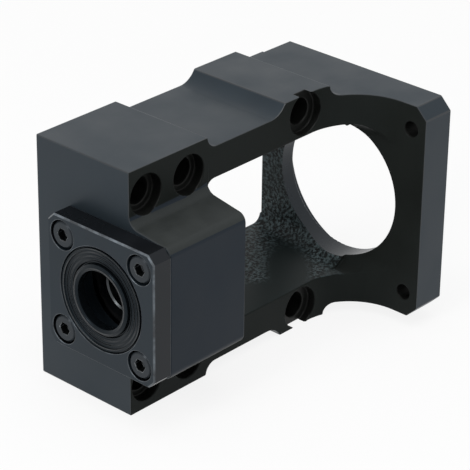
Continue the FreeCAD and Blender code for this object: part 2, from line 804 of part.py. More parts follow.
half_width = S["bearing_width"] / 2
sub_parts = [
    build_bracket(),
    build_cover(),
    build_screws(),
    build_seal("front_seal", cover_face, 1),
    build_seal("rear_seal", rear_seal_face, -1),
    *build_bearing("front", pair_middle - half_width, -1),
    *build_bearing("rear", pair_middle + half_width, 1),
]
doc.recompute()
check_document()
write_parts(sub_parts)
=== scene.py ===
"""Looks of a stepper motor mount: a blackened cast bracket, its bearing cover and its bearings."""

import json
import logging
import math
from collections.abc import Callable, Iterable, Mapping
from dataclasses import dataclass, field
from enum import Enum

import bmesh
import bpy
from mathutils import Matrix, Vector


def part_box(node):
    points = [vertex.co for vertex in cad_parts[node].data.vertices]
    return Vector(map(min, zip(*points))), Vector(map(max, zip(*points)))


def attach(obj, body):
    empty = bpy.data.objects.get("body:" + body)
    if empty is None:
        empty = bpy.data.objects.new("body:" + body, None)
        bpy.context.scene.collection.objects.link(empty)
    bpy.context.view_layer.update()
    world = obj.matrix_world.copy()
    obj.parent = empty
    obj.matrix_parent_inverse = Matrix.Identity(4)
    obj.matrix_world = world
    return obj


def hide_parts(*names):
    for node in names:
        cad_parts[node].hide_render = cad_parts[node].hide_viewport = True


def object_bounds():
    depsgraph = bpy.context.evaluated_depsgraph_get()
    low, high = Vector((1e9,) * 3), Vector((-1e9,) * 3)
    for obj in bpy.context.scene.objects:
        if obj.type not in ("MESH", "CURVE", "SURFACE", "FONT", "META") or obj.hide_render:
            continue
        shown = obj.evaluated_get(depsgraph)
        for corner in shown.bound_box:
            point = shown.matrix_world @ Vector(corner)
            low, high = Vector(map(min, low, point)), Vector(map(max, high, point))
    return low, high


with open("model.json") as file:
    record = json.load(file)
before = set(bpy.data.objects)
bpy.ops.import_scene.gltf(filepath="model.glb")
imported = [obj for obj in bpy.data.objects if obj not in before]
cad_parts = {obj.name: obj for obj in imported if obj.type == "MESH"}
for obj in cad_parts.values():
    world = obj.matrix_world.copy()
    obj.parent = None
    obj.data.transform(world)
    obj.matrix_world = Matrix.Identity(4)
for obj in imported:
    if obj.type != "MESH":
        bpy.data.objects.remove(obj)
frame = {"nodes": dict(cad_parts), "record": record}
CAD_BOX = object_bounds()
MOUNTS = {mount["name"]: mount for mount in frame["record"]["mounts"]}

LOG = logging.getLogger("motor_mount")

MM = 0.001
MERGE_DISTANCE = 1e-6
WHITE = (1.0, 1.0, 1.0, 1.0)

# A face looks along an axis where its normal's share along that axis is above this.
FACING = 0.9
# A face lies on a plane, in mm, where its middle is within this distance of the plane.
SLACK = 0.05

# Most of a noise lies between these levels.
NOISE_LOW = 0.3
NOISE_HIGH = 0.7
# Distance between the lines of a wave texture at a scale of one.
WAVE_SPACING = math.tau / 20
# Numbers of the Mix node's colour sockets, whose names repeat for each kind of data.
MIX_A = 6
MIX_B = 7
MIX_COLOUR = 2

SocketValue = float | tuple[float, ...] | Vector | bpy.types.NodeSocket


def linear(colour: str) -> tuple[float, float, float, float]:
    """Turn an sRGB hex colour into linear light.

    Args:
        colour: The colour as "#rrggbb".

    Returns:
        Red, green, blue and an alpha of one.
    """
    channels = [int(colour[start:start + 2], 16) / 255 for start in (1, 3, 5)]
    light = [c / 12.92 if c <= 0.04045 else ((c + 0.055) / 1.055) ** 2.4 for c in channels]
    return (*light, 1.0)


def per_metre(size_mm: float) -> float:
    """Scale of a noise whose features are about this many millimetres across."""
    return 1 / (size_mm * MM)


def wave_scale(spacing_mm: float) -> float:
    """Scale of a wave texture whose lines lie this many millimetres apart."""
    return WAVE_SPACING / (spacing_mm * MM)


def set_inputs(node: bpy.types.Node, inputs: Mapping[str | int, SocketValue]) -> None:
    """Link a node's inputs to other nodes, or set them to plain values.

    Args:
        node: The node.
        inputs: Sockets to link and plain values to set, by input name or number.
    """
    for key, value in inputs.items():
        if isinstance(value, bpy.types.NodeSocket):
            node.id_data.links.new(value, node.inputs[key])
        else:
            node.inputs[key].default_value = value


def add_node(
    tree: bpy.types.NodeTree,
    kind: str,
    inputs: Mapping[str | int, SocketValue],
    **settings: object,
) -> bpy.types.Node:
    """Add a node with its settings, and link or set its inputs.

    Args:
        tree: The node tree that gets the node.
        kind: The node's type name.
        inputs: Sockets to link and plain values to set, by input name or number.
        **settings: Attributes of the node.

    Returns:
        The new node.
    """
    node = tree.nodes.new(kind)
    for key, value in settings.items():
        setattr(node, key, value)
    set_inputs(node, inputs)
    return node


def start_material(name: str) -> tuple[bpy.types.Material, bpy.types.Node, bpy.types.NodeSocket]:
    """Start a material with a Principled shader.

    Args:
        name: The material's name.

    Returns:
        The material, its shader and the Object coordinates.
    """
    material = bpy.data.materials.new(name)
    material.use_nodes = True
    shader = material.node_tree.nodes["Principled BSDF"]
    place = add_node(material.node_tree, "ShaderNodeTexCoord", {}).outputs["Object"]
    return material, shader, place


@dataclass(frozen=True)
class BlackenedIron:
    """Iron under a black oxide film: nearly black, with a satin shine and faint clouds in the film.

    The grain is drawn coarser than the tool marks of the real surface, so that it shows.
    """

    name: str
    film: str
    cloud: str
    roughness: float
    roughness_spread: float = 0.08
    cloud_mm: float = 16.0
    grain_mm: float = 0.55
    grain_height_mm: float = 0.012
    grain_strength: float = 0.25
    ior: float = 1.5
    tint: str = "#dfe8f2"

    def material(self) -> bpy.types.Material:
        """Build the finish.

        Returns:
            The node material.
        """
        material, shader, place = start_material(self.name)
        tree = material.node_tree
        clouds = add_node(tree, "ShaderNodeTexNoise", {
            "Vector": place, "Scale": per_metre(self.cloud_mm), "Detail": 3.0, "Roughness": 0.55})
        grain = add_node(tree, "ShaderNodeTexNoise", {
            "Vector": place, "Scale": per_metre(self.grain_mm), "Detail": 2.0, "Roughness": 0.6})
        colour = add_node(tree, "ShaderNodeMix", {
            0: clouds.outputs["Fac"], MIX_A: linear(self.film), MIX_B: linear(self.cloud)}, data_type="RGBA")
        gloss = add_node(tree, "ShaderNodeMapRange", {
            "Value": clouds.outputs["Fac"], "From Min": NOISE_LOW, "From Max": NOISE_HIGH,
            "To Min": self.roughness - self.roughness_spread,
            "To Max": self.roughness + self.roughness_spread})
        bump = add_node(tree, "ShaderNodeBump", {
            "Height": grain.outputs["Fac"], "Strength": self.grain_strength,
            "Distance": self.grain_height_mm * MM})
        set_inputs(shader, {
            "Base Color": colour.outputs[MIX_COLOUR], "Roughness": gloss.outputs["Result"],
            "Normal": bump.outputs["Normal"], "IOR": self.ior, "Specular Tint": linear(self.tint)})
        return material


@dataclass(frozen=True)
class SandCastIron:
    """Blackened iron from a sand mould: painted shade in the pits between grains, painted glints on their
    flanks.

    The grains fade towards the bearing housing and the mouth of the coupling space, and along a streak
    on one rail, and leave a smooth skin there.
    """

    name: str = "sand_cast_iron_glints_and_shade"
    skin: str = "#1d2424"
    # Near-black pits between the grains: painted shade.
    pit_shade: str = "#090c0c"
    # Pale grains: painted glints where their flanks catch the light.
    grain: str = "#566467"
    roughness: float = 0.42
    ior: float = 1.2
    grain_mm: float = 0.85
    grain_height_mm: float = 0.3
    grain_levels: tuple[float, float] = (0.44, 0.62)
    patch_mm: float = 14.0
    patch_levels: tuple[float, float] = (0.35, 0.55)
    patch_relief: tuple[float, float] = (0.6, 1.0)
    fade_lean: float = 1.45
    fade_start_mm: float = -20.0
    fade_end_mm: float = -11.0
    fade_rag_mm: float = 23.0
    streak_at_mm: tuple[float, float, float] = (-25.5, 3.5, -21.0)
    streak_half_mm: tuple[float, float, float] = (18.0, 7.0, 8.0)
    streak_turn_deg: float = 44.0
    streak_border: tuple[float, float] = (0.65, 1.15)

    def relief(
        self, tree: bpy.types.NodeTree, place: bpy.types.NodeSocket
    ) -> bpy.types.NodeSocket:
        """Work out how far the grains stand out, from smooth at 0 to full at 1.

        Args:
            tree: The material's node tree.
            place: The Object coordinates.

        Returns:
            The relief's socket.
        """
        patches = add_node(tree, "ShaderNodeTexNoise", {
            "Vector": place, "Scale": per_metre(self.patch_mm), "Detail": 2.0})
        depth = add_node(tree, "ShaderNodeVectorMath", {
            0: place, 1: (1.0, self.fade_lean, 0.0)}, operation="DOT_PRODUCT")
        ragged = add_node(tree, "ShaderNodeMath", {
            0: patches.outputs["Fac"], 1: self.fade_rag_mm * MM, 2: depth.outputs["Value"]},
            operation="MULTIPLY_ADD")
        fade = add_node(tree, "ShaderNodeMapRange", {
            "Value": ragged.outputs[0],
            "From Min": self.fade_start_mm * MM, "From Max": self.fade_end_mm * MM})
        patch = add_node(tree, "ShaderNodeMapRange", {
            "Value": patches.outputs["Fac"],
            "From Min": self.patch_levels[0], "From Max": self.patch_levels[1],
            "To Min": self.patch_relief[0], "To Max": self.patch_relief[1]})
        streak = add_node(tree, "ShaderNodeMapping", {
            "Vector": place, "Location": Vector(self.streak_at_mm) * MM,
            "Rotation": (0.0, 0.0, math.radians(self.streak_turn_deg)),
            "Scale": Vector(self.streak_half_mm) * MM}, vector_type="TEXTURE")
        reach = add_node(tree, "ShaderNodeVectorMath", {0: streak.outputs["Vector"]}, operation="LENGTH")
        outside = add_node(tree, "ShaderNodeMapRange", {
            "Value": reach.outputs["Value"],
            "From Min": self.streak_border[0], "From Max": self.streak_border[1]})
        rough = add_node(tree, "ShaderNodeMath", {
            0: patch.outputs["Result"], 1: outside.outputs["Result"]}, operation="MULTIPLY")
        relief = add_node(tree, "ShaderNodeMath", {
            0: fade.outputs["Result"], 1: rough.outputs[0]}, operation="MULTIPLY")
        return relief.outputs[0]

    def material(self) -> bpy.types.Material:
        """Build the finish.

        Returns:
            The node material.
        """
        material, shader, place = start_material(self.name)
        tree = material.node_tree
        grains = add_node(tree, "ShaderNodeTexNoise", {
            "Vector": place, "Scale": per_metre(self.grain_mm), "Detail": 3.0, "Roughness": 0.6})
        relief = self.relief(tree, place)
        share = add_node(tree, "ShaderNodeMapRange", {
            "Value": grains.outputs["Fac"],
            "From Min": self.grain_levels[0], "From Max": self.grain_levels[1]})
        # Pits and grains mixed: painted shade and painted glints on the sand.
        sand = add_node(tree, "ShaderNodeMix", {
            0: share.outputs["Result"], MIX_A: linear(self.pit_shade), MIX_B: linear(self.grain)}, data_type="RGBA")
        colour = add_node(tree, "ShaderNodeMix", {
            0: relief, MIX_A: linear(self.skin), MIX_B: sand.outputs[MIX_COLOUR]}, data_type="RGBA")
        bump = add_node(tree, "ShaderNodeBump", {
            "Height": grains.outputs["Fac"], "Strength": relief, "Distance": self.grain_height_mm * MM})
        set_inputs(shader, {
            "Base Color": colour.outputs[MIX_COLOUR], "Roughness": self.roughness,
            "Normal": bump.outputs["Normal"], "IOR": self.ior})
        return material


@dataclass(frozen=True)
class WornEdgeHighlight:
    """An edge where the black film is rubbed thin and bare iron shows through in short runs: wear and a
    painted highlight.
    """

    name: str
    film: str
    iron: str
    coverage: float
    run_mm: float = 5.0
    run_border: float = 0.12
    film_roughness: float = 0.4
    iron_roughness: float = 0.35

    def material(self) -> bpy.types.Material:
        """Build the finish.

        Returns:
            The node material.
        """
        material, shader, place = start_material(self.name)
        tree = material.node_tree
        runs = add_node(tree, "ShaderNodeTexNoise", {
            "Vector": place, "Scale": per_metre(self.run_mm), "Detail": 4.0, "Roughness": 0.65})
        level = NOISE_HIGH - (NOISE_HIGH - NOISE_LOW) * self.coverage
        wear_and_highlight = add_node(tree, "ShaderNodeMapRange", {
            "Value": runs.outputs["Fac"],
            "From Min": level - self.run_border, "From Max": level + self.run_border})
        # Pale metallic iron along the edge: partly wear, partly a painted highlight.
        colour = add_node(tree, "ShaderNodeMix", {
            0: wear_and_highlight.outputs["Result"], MIX_A: linear(self.film), MIX_B: linear(self.iron)}, data_type="RGBA")
        gloss = add_node(tree, "ShaderNodeMapRange", {
            "Value": wear_and_highlight.outputs["Result"], "To Min": self.film_roughness, "To Max": self.iron_roughness})
        set_inputs(shader, {
            "Base Color": colour.outputs[MIX_COLOUR], "Metallic": wear_and_highlight.outputs["Result"],
            "Roughness": gloss.outputs["Result"]})
        return material


@dataclass(frozen=True)
class TurnedMetal:
    """Bare metal turned or ground about the screw axis, with fine rings that stretch its highlights.

    The rings are drawn coarser than real grinding lines, so that they show.
    """

    name: str
    metal: str
    dull: str
    roughness: float
    ring_mm: float
    ring_height_mm: float
    ring_strength: float = 0.3
    smudge_mm: float = 4.0
    clean_share: float = 0.8
    smudged_share: float = 1.3

    def material(self) -> bpy.types.Material:
        """Build the finish.

        Returns:
            The node material.
        """
        material, shader, place = start_material(self.name)
        tree = material.node_tree
        rings = add_node(tree, "ShaderNodeTexWave", {
            "Vector": place, "Scale": wave_scale(self.ring_mm), "Distortion": 1.5, "Detail": 2.0},
            wave_type="RINGS", rings_direction="X")
        smudge = add_node(tree, "ShaderNodeTexNoise", {
            "Vector": place, "Scale": per_metre(self.smudge_mm), "Detail": 3.0})
        colour = add_node(tree, "ShaderNodeMix", {
            0: smudge.outputs["Fac"], MIX_A: linear(self.metal), MIX_B: linear(self.dull)}, data_type="RGBA")
        gloss = add_node(tree, "ShaderNodeMapRange", {
            "Value": smudge.outputs["Fac"], "From Min": NOISE_LOW, "From Max": NOISE_HIGH,
            "To Min": self.roughness * self.clean_share, "To Max": self.roughness * self.smudged_share})
        bump = add_node(tree, "ShaderNodeBump", {
            "Height": rings.outputs["Fac"], "Strength": self.ring_strength,
            "Distance": self.ring_height_mm * MM})
        set_inputs(shader, {
            "Base Color": colour.outputs[MIX_COLOUR], "Roughness": gloss.outputs["Result"],
            "Normal": bump.outputs["Normal"], "Metallic": 1.0})
        return material


@dataclass(frozen=True)
class Moulded:
    """Black rubber or plastic from a turned mould: a soft shine, faint bloom and fine rings."""

    name: str
    base: str
    bloom: str
    roughness: float
    bare_shine: float = 0.06
    bloom_dulling: float = 0.1
    bloom_mm: float = 3.0
    ring_mm: float = 0.55
    ring_height_mm: float = 0.02
    ring_strength: float = 0.35
    ior: float = 1.5
    tint: str = "#ffffff"

    def material(self) -> bpy.types.Material:
        """Build the finish.

        Returns:
            The node material.
        """
        material, shader, place = start_material(self.name)
        tree = material.node_tree
        bloom = add_node(tree, "ShaderNodeTexNoise", {
            "Vector": place, "Scale": per_metre(self.bloom_mm), "Detail": 4.0, "Roughness": 0.6})
        rings = add_node(tree, "ShaderNodeTexWave", {
            "Vector": place, "Scale": wave_scale(self.ring_mm), "Distortion": 0.3},
            wave_type="RINGS", rings_direction="X")
        colour = add_node(tree, "ShaderNodeMix", {
            0: bloom.outputs["Fac"], MIX_A: linear(self.base), MIX_B: linear(self.bloom)}, data_type="RGBA")
        gloss = add_node(tree, "ShaderNodeMapRange", {
            "Value": bloom.outputs["Fac"], "From Min": NOISE_LOW, "From Max": NOISE_HIGH,
            "To Min": self.roughness - self.bare_shine, "To Max": self.roughness + self.bloom_dulling})
        bump = add_node(tree, "ShaderNodeBump", {
            "Height": rings.outputs["Fac"], "Strength": self.ring_strength,
            "Distance": self.ring_height_mm * MM})
        set_inputs(shader, {
            "Base Color": colour.outputs[MIX_COLOUR], "Roughness": gloss.outputs["Result"],
            "Normal": bump.outputs["Normal"], "IOR": self.ior, "Specular Tint": linear(self.tint)})
        return material


Finish = BlackenedIron | SandCastIron | WornEdgeHighlight | TurnedMetal | Moulded


class Zone(Enum):
    """Surfaces of the casting, in the order of its material slots."""

    MACHINED = 0
    MILLED = 1
    HOUSING = 2
    SAND = 3
    BORED = 4
    DRILLED = 5
    WALL = 6
    # Broken edges of machined faces: rubbed film and a painted highlight.
    EDGE = 7


class CoverZone(Enum):
    """Surfaces of the bearing cover, in the order of its material slots."""

    FACE = 0
    SIDE = 1
    RIM = 2
    EDGE = 3


class ScrewZone(Enum):
    """Surfaces of a cover screw, in the order of its material slots."""

    HEAD = 0
    SOCKET = 1
    EDGE = 2


def node_box(node: str) -> tuple[Vector, Vector]:
    """Give a CAD node's lowest and highest corners in mm."""
    low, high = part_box(node)
    return Vector(low) / MM, Vector(high) / MM


def merged_copy(node: str, flat_deg: float = 0.05) -> bmesh.types.BMesh:
    """Copy a CAD node's triangles as one closed mesh whose flat faces are whole.

    Args:
        node: The CAD node's name.
        flat_deg: Neighbours that turn by less than this angle are one flat face.

    Returns:
        The merged mesh.
    """
    form = bmesh.new()
    form.from_mesh(frame["nodes"][node].data)
    bmesh.ops.remove_doubles(form, verts=form.verts, dist=MERGE_DISTANCE)
    bmesh.ops.dissolve_limit(form, angle_limit=math.radians(flat_deg), verts=form.verts, edges=form.edges)
    form.normal_update()
    return form


def sharp_edges(form: bmesh.types.BMesh, sharp_deg: float) -> list[bmesh.types.BMEdge]:
    """List the edges of a mesh that turn by more than an angle."""
    sharp = math.radians(sharp_deg)
    return [edge for edge in form.edges if edge.is_manifold and edge.calc_face_angle() > sharp]


def break_edges(
    form: bmesh.types.BMesh, edges: list[bmesh.types.BMEdge], width_mm: float
) -> list[bmesh.types.BMFace]:
    """Round off edges of a mesh.

    Args:
        form: The mesh.
        edges: The edges to round.
        width_mm: How far the rounding reaches from an edge.

    Returns:
        The new faces along the edges.
    """
    result = bmesh.ops.bevel(
        form, geom=edges, offset=width_mm * MM, offset_type="OFFSET", affect="EDGES", segments=2, profile=0.5,
        material=-1, loop_slide=True)
    return result["faces"]


def shade(form: bmesh.types.BMesh, crease_deg: float = 20.0) -> None:
    """Smooth a mesh's curved faces and keep its creases crisp.

    Args:
        form: The mesh.
        crease_deg: Edges that turn by more than this angle are creases.
    """
    for face in form.faces:
        face.smooth = True
    for edge in form.edges:
        edge.smooth = edge.is_manifold and edge.calc_face_angle() < math.radians(crease_deg)


def finish_piece(
    form: bmesh.types.BMesh, name: str, node: str, finishes: Iterable[Finish]
) -> None:
    """Turn a mesh into the housing's visible piece for a CAD node.

    Args:
        form: The mesh, which is freed.
        name: The piece's name.
        node: The CAD node that the piece stands for.
        finishes: The finishes in the order of the mesh's material numbers.
    """
    shade(form)
    mesh = bpy.data.meshes.new(name)
    form.to_mesh(mesh)
    form.free()
    for finish in finishes:
        mesh.materials.append(finish.material())
    piece = bpy.data.objects.new(name, mesh)
    bpy.context.scene.collection.objects.link(piece)
    piece.modifiers.new("flat_normals", "WEIGHTED_NORMAL").keep_sharp = True
    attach(piece, "housing")
    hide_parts(node)
    LOG.info("%s: %d faces", name, len(mesh.polygons))


def dress_node(name: str, material: bpy.types.Material) -> None:
    """Give every material slot of a CAD node one finish.

    Args:
        name: The CAD node's name.
        material: The finish's material.
    """
    for slot in frame["nodes"][name].material_slots:
        slot.material = material
    LOG.info("%s: %s", name, material.name)


@dataclass
class Casting:
    """The one-piece casting, with broken edges and a finish for each kind of surface. Sizes in mm."""

    node: str = "bracket_casting"
    edge_break: float = 0.3
    sharp_deg: float = 30.0
    side: float = 30.3
    side_lean: float = 0.7
    shoulder: float = -4.2
    base_step: float = 0.6
    flange_inner: float = -10.3
    wall_facing: float = 0.99
    hole_end: float = -20.0
    hole_radius: float = 19.6
    hole_margin: float = 0.6
    pilot_margin: float = 0.5
    bore_facing: float = 0.97
    bore_reach: float = 14.5
    housing_end: float = -62.0
    rear_wall_start: float = -67.5
    pocket_start: float = -72.8
    pocket_half_width: float = 23.0
    front_seat_reach: float = 5.4
    rear_seat_reach: float = 5.9
    seat_edge: float = 1.0
    seat_wall_lean: float = 0.5
    tapped_reach: float = 2.2
    machined: BlackenedIron = BlackenedIron(
        "blackened_machined_iron", "#1c2328", "#252d33", 0.42, ior=1.4, tint="#d3e2f0")
    milled: BlackenedIron = BlackenedIron(
        "blackened_milled_iron", "#181a18", "#232624", 0.5, grain_mm=0.9, grain_height_mm=0.05,
        grain_strength=0.4, ior=1.16, tint="#c8dcec")
    housing: BlackenedIron = BlackenedIron(
        "blackened_housing_iron", "#191f25", "#222930", 0.46, grain_mm=0.9, grain_height_mm=0.04, ior=1.27,
        tint="#cfdcf0")
    sand: SandCastIron = SandCastIron()
    bored: BlackenedIron = BlackenedIron(
        "blackened_bored_iron", "#181e22", "#22282d", 0.24, cloud_mm=8.0, ior=1.36)
    drilled: BlackenedIron = BlackenedIron(
        "blackened_drilled_iron", "#090a09", "#121312", 0.45, cloud_mm=5.0, ior=1.3, tint="#eef0ee")
    wall: BlackenedIron = BlackenedIron(
        "blackened_cast_wall", "#242726", "#363938", 0.55, cloud_mm=5.0, grain_mm=1.2, grain_height_mm=0.06,
        grain_strength=0.5, ior=1.3)
    # Pale bare iron on the broken machined edges: wear and a painted highlight.
    edge: WornEdgeHighlight = WornEdgeHighlight("worn_iron_edge_highlight", "#20262b", "#474e54", 0.15)
    low: Vector = field(init=False)
    high: Vector = field(init=False)
    base_bolts: list[tuple[float, float, float]] = field(init=False)

    def __post_init__(self) -> None:
        """Read the casting's box and the base bolts' places from the frame."""
        self.low, self.high = node_box(self.node)
        self.base_bolts = []
        for name, reach in (
            ("front_base_bolts", self.front_seat_reach), ("rear_base_bolts", self.rear_seat_reach)
        ):
            mount = MOUNTS[name]
            half_pitch = mount["dims"].get("spacing_x_mm", 0) / 2
            for along in {-half_pitch, half_pitch}:
                x = mount["pos_m"][0] / MM + along
                self.base_bolts.append((x, mount["dims"]["spacing_y_mm"] / 2, reach))

    def at_motor_hole(self, edge: bmesh.types.BMEdge) -> bool:
        """Tell whether an edge touches the motor hole, which keeps its crisp edges."""
        return any(
            vertex.co.x > self.hole_end * MM
            and abs(math.hypot(vertex.co.y, vertex.co.z) / MM - self.hole_radius) < self.hole_margin
            for vertex in edge.verts
        )

    def is_drilled(self, place: Vector, normal: Vector) -> bool:
        """Tell whether a face belongs to a base bolt's hole or seat, or to a motor bolt's hole.

        Args:
            place: The face's middle, in mm.
            normal: The way that the face looks.

        Returns:
            True for a face in such a hole.
        """
        x, y, z = place
        tapped = MOUNTS["motor_bolts"]["dims"]["spacing_x_mm"] / 2
        if math.hypot(abs(y) - tapped, abs(z) - tapped) < self.tapped_reach:
            return True
        below_top = abs(normal.y) < self.seat_wall_lean or y > self.shoulder + self.seat_edge
        within = abs(z) < self.high.z - SLACK and y < self.high.y - SLACK
        return below_top and within and any(
            math.hypot(x - bolt_x, abs(z) - bolt_z) < reach for bolt_x, bolt_z, reach in self.base_bolts)

    def zone(self, face: bmesh.types.BMFace) -> Zone:
        """Tell which kind of surface a face belongs to.

        Args:
            face: A face of the merged casting.

        Returns:
            The face's zone.
        """
        place = face.calc_center_median() / MM
        x, y, z = place
        normal = face.normal
        from_axis = math.hypot(y, z)
        inward = -(normal.y * y + normal.z * z) / from_axis
        at_hole = x > self.hole_end and abs(from_axis - self.hole_radius) < self.hole_margin
        pilot_reach = MOUNTS["motor_pilot"]["dims"]["r_mm"] + self.pilot_margin
        in_pilot = x > self.flange_inner and from_axis < pilot_reach
        on_side = abs(z) > self.side - SLACK and abs(normal.y) < self.side_lean
        on_end = x < self.low.x + SLACK or x > self.flange_inner + SLACK
        at_rear_wall = self.rear_wall_start < x < self.housing_end
        in_bearing_bore = from_axis < self.bore_reach and self.low.x + SLACK < x < self.housing_end
        in_pocket = y > self.shoulder and abs(z) < self.pocket_half_width and x > self.pocket_start
        if inward > self.bore_facing and (at_hole or in_pilot):
            return Zone.BORED
        if at_rear_wall and normal.x > FACING and not on_side:
            return Zone.WALL
        if in_bearing_bore:
            return Zone.BORED
        if self.is_drilled(place, normal):
            return Zone.DRILLED
        if on_end or on_side or y > self.high.y - self.base_step:
            return Zone.MACHINED
        if x < self.housing_end and y < self.shoulder - SLACK:
            return Zone.HOUSING if abs(normal.y) > FACING else Zone.WALL
        if in_pocket and abs(normal.y) < FACING:
            return Zone.SAND
        return Zone.MILLED

    def split_flange_wall(self, form: bmesh.types.BMesh) -> None:
        """Cut the flange's inner wall along the shoulders, where its milled part meets the sand cast one.

        Args:
            form: The merged casting.
        """
        wall = [
            face for face in form.faces
            if face.normal.x < -self.wall_facing
            and abs(face.calc_center_median().x / MM - self.flange_inner) < SLACK
        ]
        edges = {edge for face in wall for edge in face.edges}
        vertices = {vertex for face in wall for vertex in face.verts}
        bmesh.ops.bisect_plane(
            form, geom=[*wall, *edges, *vertices], dist=MERGE_DISTANCE,
            plane_co=(0, self.shoulder * MM, 0), plane_no=(0, 1, 0))

    def keep_in_box(self, form: bmesh.types.BMesh) -> None:
        """Pull back what the broken edges push out of the casting's box."""
        for vertex in form.verts:
            vertex.co = [
                min(max(at, least * MM), most * MM) for at, least, most in zip(vertex.co, self.low, self.high)
            ]

    def build(self) -> None:
        """Build the casting's visible form and dress it."""
        form = merged_copy(self.node)
        self.split_flange_wall(form)
        for face in form.faces:
            face.material_index = self.zone(face).value
        edges = [edge for edge in sharp_edges(form, self.sharp_deg) if not self.at_motor_hole(edge)]
        # Broken edges of machined faces take the rubbed finish with its painted highlight.
        for face in break_edges(form, edges, self.edge_break):
            if face.material_index == Zone.MACHINED.value:
                face.material_index = Zone.EDGE.value
        self.keep_in_box(form)
        finishes = {
            Zone.MACHINED: self.machined,
            Zone.MILLED: self.milled,
            Zone.HOUSING: self.housing,
            Zone.SAND: self.sand,
            Zone.BORED: self.bored,
            Zone.DRILLED: self.drilled,
            Zone.WALL: self.wall,
            Zone.EDGE: self.edge,
        }
        finish_piece(form, "dressed_casting", self.node, [finishes[zone] for zone in Zone])


@dataclass
class CoverSet:
    """The bearing cover with its screws and the two lip seals. Sizes in mm."""

    cover_node: str = "bearing_cover"
    screw_node: str = "cover_screws"
    edge_break: float = 0.16
    sharp_deg: float = 60.0
    bevel: float = 0.4
    inner_margin: float = 2.5
    corner_margin: float = 1.0
    side_facing: float = 0.3
    front_facing: float = 0.95
    screw_place: float = 13.0
    socket_reach: float = 1.8
    socket_start: float = 0.02
    face: BlackenedIron = BlackenedIron(
        "blackened_ground_cover", "#161d22", "#1f272d", 0.36, cloud_mm=10.0, ior=1.34, tint="#cfe0f0")
    # Painted shade: the cover's sides are drawn near black, darker than its face.
    side: BlackenedIron = BlackenedIron("cover_side_painted_shade", "#0b0d10", "#101215", 0.3, ior=1.35)
    # Painted highlight on the cover's top front edge, brighter than its other edges.
    rim: WornEdgeHighlight = WornEdgeHighlight("worn_cover_rim_highlight", "#262b30", "#767d84", 0.45)
    # Rubbed cover edges, paler as a painted highlight.
    edge: WornEdgeHighlight = WornEdgeHighlight("worn_cover_edge_highlight", "#262b30", "#6b7278", 0.4)
    head: BlackenedIron = BlackenedIron(
        "blackened_screw_steel", "#1b2024", "#272c30", 0.36, cloud_mm=2.5, grain_mm=0.3, ior=1.36)
    socket: BlackenedIron = BlackenedIron("shaded_socket_steel", "#060707", "#0c0d0d", 0.4, ior=1.3)
    # Rubbed screw head edges, bright as painted glints.
    head_edge: WornEdgeHighlight = WornEdgeHighlight("worn_screw_edge_glint", "#24282b", "#8d9296", 0.3, run_mm=1.2)
    rubber: Moulded = Moulded(
        "moulded_nitrile_rubber", "#080b0d", "#0f1316", 0.2, ring_mm=1.0, ring_height_mm=0.2,
        ring_strength=0.8, ior=1.33, tint="#b4cbdc")
    front: float = field(init=False)
    half: float = field(init=False)
    head_front: float = field(init=False)

    def __post_init__(self) -> None:
        """Read the cover's size and the screw heads' place from the frame."""
        low, high = node_box(self.cover_node)
        self.front, self.half = low.x, high.z
        self.head_front = node_box(self.screw_node)[0].x

    def cover_zone(self, face: bmesh.types.BMFace) -> CoverZone:
        """Tell which kind of surface a face of the cover belongs to.

        Args:
            face: A face of the merged cover.

        Returns:
            The face's zone.
        """
        x, y, z = face.calc_center_median() / MM
        in_square = max(abs(y), abs(z)) < self.half - self.inner_margin
        in_diamond = abs(y) + abs(z) < self.half - self.corner_margin
        across = abs(face.normal.x)
        if in_square or in_diamond:
            return CoverZone.FACE
        # The sides take the near-black finish: painted shade.
        if across < self.side_facing:
            return CoverZone.SIDE
        if across < self.front_facing and x < self.front + self.bevel:
            # The top front edge gets the brighter painted highlight; the other edges the rubbed finish.
            return CoverZone.RIM if z > self.half - self.bevel else CoverZone.EDGE
        return CoverZone.FACE

    def screw_zone(self, face: bmesh.types.BMFace) -> ScrewZone:
        """Tell which kind of surface a face of a cover screw belongs to.

        Args:
            face: A face of the merged screws.

        Returns:
            The face's zone.
        """
        x, y, z = face.calc_center_median() / MM
        from_screw = math.hypot(abs(y) - self.screw_place, abs(z) - self.screw_place)
        inside = from_screw < self.socket_reach and x > self.head_front + self.socket_start
        return ScrewZone.SOCKET if inside else ScrewZone.HEAD

    def build_broken(
        self,
        node: str,
        zone: Callable[[bmesh.types.BMFace], Enum],
        edge: Enum,
        finishes: Iterable[Finish],
    ) -> None:
        """Build a CAD node's visible form with broken edges.

        Args:
            node: The CAD node that the piece stands for.
            zone: Tells which zone a face belongs to.
            edge: The zone of the broken edges.
            finishes: The finishes in the order of the zones.
        """
        form = merged_copy(node)
        for face in form.faces:
            face.material_index = zone(face).value
        for face in break_edges(form, sharp_edges(form, self.sharp_deg), self.edge_break):
            face.material_index = edge.value
        finish_piece(form, f"dressed_{node}", node, finishes)

    def build(self) -> None:
        """Build and dress the cover, the screws and the seals."""
        self.build_broken(
            self.cover_node, self.cover_zone, CoverZone.EDGE,
            (self.face, self.side, self.rim, self.edge))
        self.build_broken(
            self.screw_node, self.screw_zone, ScrewZone.EDGE,
            (self.head, self.socket, self.head_edge))
        rubber = self.rubber.material()
        for name in ("front_seal", "rear_seal"):
            dress_node(name, rubber)


